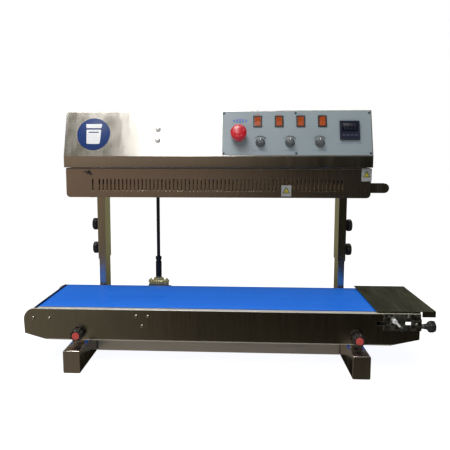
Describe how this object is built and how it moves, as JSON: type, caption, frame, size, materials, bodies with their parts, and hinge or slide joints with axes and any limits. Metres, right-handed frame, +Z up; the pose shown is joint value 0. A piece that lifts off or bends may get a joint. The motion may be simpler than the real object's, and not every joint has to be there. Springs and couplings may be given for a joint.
{
  "type": "continuous band sealer",
  "caption": "Bag sealing machine: slanted control head with heated moving bands on two telescoping columns, above a wide flat belt conveyor on two tube feet.",
  "frame": {"origin": "on the floor, in the middle of the machine's outline", "axes": "+X along the conveyor towards the infeed tray and tension knob, +Y to the back where the columns stand, +Z up"},
  "size_m": [0.97, 0.42, 0.6122],
  "materials": {
    "stainless_dark": "brushed",
    "stainless_bright": "brushed",
    "stainless_warm": "brushed",
    "belt_blue": "satin",
    "bearing_steel": "machined",
    "chain_steel": "oiled",
    "casting_grey": "satin",
    "zinc_yellow": "passivated",
    "galvanised": "spangled",
    "screw_steel": "polished",
    "roller_aluminium": "satin",
    "black_oxide": "satin",
    "black_plastic": "satin",
    "chrome_plate": "polished",
    "panel_film": "satin",
    "band_ptfe": "matte",
    "block_brass": "machined",
    "motor_paint": "satin",
    "button_red": "gloss",
    "rocker_orange": "gloss",
    "dial_grey": "satin",
    "wheel_rubber": "matte"
  },
  "bodies": {
    "base": {"feet": "stainless_dark", "cross_tube": "stainless_dark", "posts": "stainless_warm", "conveyor_front_plate": "stainless_dark", "conveyor_back_plate": "stainless_dark", "conveyor_nose": "stainless_dark", "slider_bed": "stainless_bright", "conveyor_belt": "belt_blue", "conveyor_bearings": "bearing_steel", "conveyor_chain": "chain_steel", "gearbox_case": "casting_grey", "flange_bearing": "zinc_yellow", "tension_plate": "galvanised", "conveyor_screws": "screw_steel", "end_tray": "stainless_dark"},
    "head": {"sleeves": "stainless_warm", "head_deck": "stainless_bright", "top_cover": "stainless_bright", "cover_fasteners": "chrome_plate", "slotted_guard": "stainless_dark", "rear_guard": "stainless_dark", "control_panel": "panel_film", "panel_fittings": "black_plastic", "temperature_controller": "black_plastic", "sealing_bands": "band_ptfe", "heating_blocks": "block_brass", "cooling_blocks": "block_brass", "infeed_guide": "stainless_dark", "drive_motor": "motor_paint", "head_chain": "chain_steel", "power_supply": "galvanised"},
    "input_shaft": {"input_bevel_gear": "bearing_steel", "shaft_coupling": "black_oxide", "drive_rod": "black_oxide"},
    "drive_roller": {"drive_roller": "roller_aluminium"},
    "idler_roller": {"idler_roller": "roller_aluminium"},
    "idler_axle": {"idler_axle": "bearing_steel"},
    "cross_shaft": {"cross_shaft": "bearing_steel"},
    "tension_knob": {"tension_knob": "black_plastic"},
    "lock_lever": {"lock_lever": "chrome_plate"},
    "conveyor_knob_left": {"conveyor_knob_left": "black_plastic"},
    "conveyor_knob_right": {"conveyor_knob_right": "black_plastic"},
    "estop_button": {"estop_button": "button_red"},
    "drive_wheel_front": {"drive_wheel_front": "wheel_rubber"},
    "drive_wheel_rear": {"drive_wheel_rear": "wheel_rubber"},
    "idler_wheel_front": {"idler_wheel_front": "wheel_rubber"},
    "idler_wheel_rear": {"idler_wheel_rear": "wheel_rubber"},
    "hub_sprocket": {"hub_sprocket": "bearing_steel"},
    "guard_screw": {"guard_screw": "black_plastic"},
    "rocker_switch_1": {"rocker_switch_1": "rocker_orange"},
    "rocker_switch_2": {"rocker_switch_2": "rocker_orange"},
    "rocker_switch_3": {"rocker_switch_3": "rocker_orange"},
    "rocker_switch_4": {"rocker_switch_4": "rocker_orange"},
    "dial_knob_1": {"dial_knob_1": "dial_grey"},
    "dial_knob_2": {"dial_knob_2": "dial_grey"},
    "dial_knob_3": {"dial_knob_3": "dial_grey"},
    "clamp_knob_left_high": {"clamp_knob_left_high": "black_plastic"},
    "clamp_knob_left_low": {"clamp_knob_left_low": "black_plastic"},
    "clamp_knob_right_high": {"clamp_knob_right_high": "black_plastic"},
    "clamp_knob_right_low": {"clamp_knob_right_low": "black_plastic"}
  },
  "joints": [
    {"name": "head_height", "type": "slide", "parent": "base", "child": "head", "axis": [0, 0, 1], "range_m": [-0.045, 0.05]},
    {"name": "drive_roller_spin", "type": "hinge", "parent": "base", "child": "drive_roller", "pos_m": [-0.442, 0, 0.112], "axis": [0, 1, 0], "continuous": true},
    {"name": "cross_shaft_spin", "type": "hinge", "parent": "base", "child": "cross_shaft", "pos_m": [-0.199, 0, 0.112], "axis": [0, 1, 0], "continuous": true},
    {"name": "input_shaft_spin", "type": "hinge", "parent": "base", "child": "input_shaft", "pos_m": [-0.199, 0.116, 0.2], "axis": [0, 0, 1], "continuous": true},
    {"name": "hub_sprocket_spin", "type": "hinge", "parent": "head", "child": "hub_sprocket", "pos_m": [-0.199, 0.116, 0.48], "axis": [0, 0, 1], "continuous": true},
    {"name": "drive_wheel_front_spin", "type": "hinge", "parent": "head", "child": "drive_wheel_front", "pos_m": [-0.352, -0.002, 0.42], "axis": [0, 0, 1], "continuous": true},
    {"name": "drive_wheel_rear_spin", "type": "hinge", "parent": "head", "child": "drive_wheel_rear", "pos_m": [-0.352, 0.046, 0.42], "axis": [0, 0, 1], "continuous": true},
    {"name": "idler_wheel_front_spin", "type": "hinge", "parent": "head", "child": "idler_wheel_front", "pos_m": [0.296, -0.002, 0.42], "axis": [0, 0, 1], "continuous": true},
    {"name": "idler_wheel_rear_spin", "type": "hinge", "parent": "head", "child": "idler_wheel_rear", "pos_m": [0.296, 0.046, 0.42], "axis": [0, 0, 1], "continuous": true},
    {"name": "belt_tension", "type": "slide", "parent": "base", "child": "idler_axle", "axis": [1, 0, 0], "range_m": [-0.006, 0]},
    {"name": "idler_roller_spin", "type": "hinge", "parent": "idler_axle", "child": "idler_roller", "pos_m": [0.385, 0, 0.112], "axis": [0, 1, 0], "continuous": true},
    {"name": "tension_knob_turn", "type": "hinge", "parent": "base", "child": "tension_knob", "pos_m": [0.45, -0.146, 0.104], "axis": [1, 0, 0], "range_deg": [-2160, 0]},
    {"name": "lock_lever_swing", "type": "hinge", "parent": "base", "child": "lock_lever", "pos_m": [0.388, -0.16, 0.12], "axis": [0, 1, 0], "range_deg": [-60, 0]},
    {"name": "conveyor_knob_left_turn", "type": "hinge", "parent": "base", "child": "conveyor_knob_left", "pos_m": [-0.3525, -0.17, 0.0766], "axis": [0, -1, 0], "range_deg": [0, 360]},
    {"name": "conveyor_knob_right_turn", "type": "hinge", "parent": "base", "child": "conveyor_knob_right", "pos_m": [0.3065, -0.17, 0.0766], "axis": [0, -1, 0], "range_deg": [0, 360]},
    {"name": "clamp_knob_left_high_turn", "type": "hinge", "parent": "head", "child": "clamp_knob_left_high", "pos_m": [-0.375, 0.114, 0.306], "axis": [-1, 0, 0], "range_deg": [0, 360]},
    {"name": "clamp_knob_left_low_turn", "type": "hinge", "parent": "head", "child": "clamp_knob_left_low", "pos_m": [-0.375, 0.114, 0.238], "axis": [-1, 0, 0], "range_deg": [0, 360]},
    {"name": "clamp_knob_right_high_turn", "type": "hinge", "parent": "head", "child": "clamp_knob_right_high", "pos_m": [0.333, 0.114, 0.306], "axis": [1, 0, 0], "range_deg": [0, 360]},
    {"name": "clamp_knob_right_low_turn", "type": "hinge", "parent": "head", "child": "clamp_knob_right_low", "pos_m": [0.333, 0.114, 0.238], "axis": [1, 0, 0], "range_deg": [0, 360]},
    {"name": "guard_screw_turn", "type": "hinge", "parent": "head", "child": "guard_screw", "pos_m": [-0.354, -0.036, 0.457], "axis": [0, -1, 0], "range_deg": [0, 360]},
    {"name": "estop_press", "type": "slide", "parent": "head", "child": "estop_button", "axis": [0, 0.9548, -0.2974], "range_m": [0, 0.005]},
    {"name": "rocker_1_tilt", "type": "hinge", "parent": "head", "child": "rocker_switch_1", "pos_m": [0.075, -0.01315, 0.58322], "axis": [1, 0, 0], "range_deg": [-16, 0]},
    {"name": "rocker_2_tilt", "type": "hinge", "parent": "head", "child": "rocker_switch_2", "pos_m": [0.1286, -0.01315, 0.58322], "axis": [1, 0, 0], "range_deg": [-16, 0]},
    {"name": "rocker_3_tilt", "type": "hinge", "parent": "head", "child": "rocker_switch_3", "pos_m": [0.1822, -0.01315, 0.58322], "axis": [1, 0, 0], "range_deg": [-16, 0]},
    {"name": "rocker_4_tilt", "type": "hinge", "parent": "head", "child": "rocker_switch_4", "pos_m": [0.2358, -0.01315, 0.58322], "axis": [1, 0, 0], "range_deg": [-16, 0]},
    {"name": "dial_1_turn", "type": "hinge", "parent": "head", "child": "dial_knob_1", "pos_m": [0.0815, -0.03108, 0.53067], "axis": [0, -0.9548, 0.2974], "range_deg": [-150, 150]},
    {"name": "dial_2_turn", "type": "hinge", "parent": "head", "child": "dial_knob_2", "pos_m": [0.1548, -0.03108, 0.53067], "axis": [0, -0.9548, 0.2974], "range_deg": [-150, 150]},
    {"name": "dial_3_turn", "type": "hinge", "parent": "head", "child": "dial_knob_3", "pos_m": [0.2281, -0.03108, 0.53067], "axis": [0, -0.9548, 0.2974], "range_deg": [-150, 150]}
  ],
  "couplings": [
    {"joint": "cross_shaft_spin", "follows": "drive_roller_spin", "ratio": 1.0625},
    {"joint": "input_shaft_spin", "follows": "drive_roller_spin", "ratio": 1.0625},
    {"joint": "hub_sprocket_spin", "follows": "drive_roller_spin", "ratio": 1.0625},
    {"joint": "drive_wheel_rear_spin", "follows": "drive_roller_spin", "ratio": 1.0625},
    {"joint": "drive_wheel_front_spin", "follows": "drive_roller_spin", "ratio": -1.0625},
    {"joint": "idler_wheel_rear_spin", "follows": "drive_roller_spin", "ratio": 1.0625},
    {"joint": "idler_wheel_front_spin", "follows": "drive_roller_spin", "ratio": -1.0625},
    {"joint": "idler_roller_spin", "follows": "drive_roller_spin", "ratio": 1},
    {"joint": "tension_knob_turn", "follows": "belt_tension", "rad_per_m": 6283.2}
  ]
}
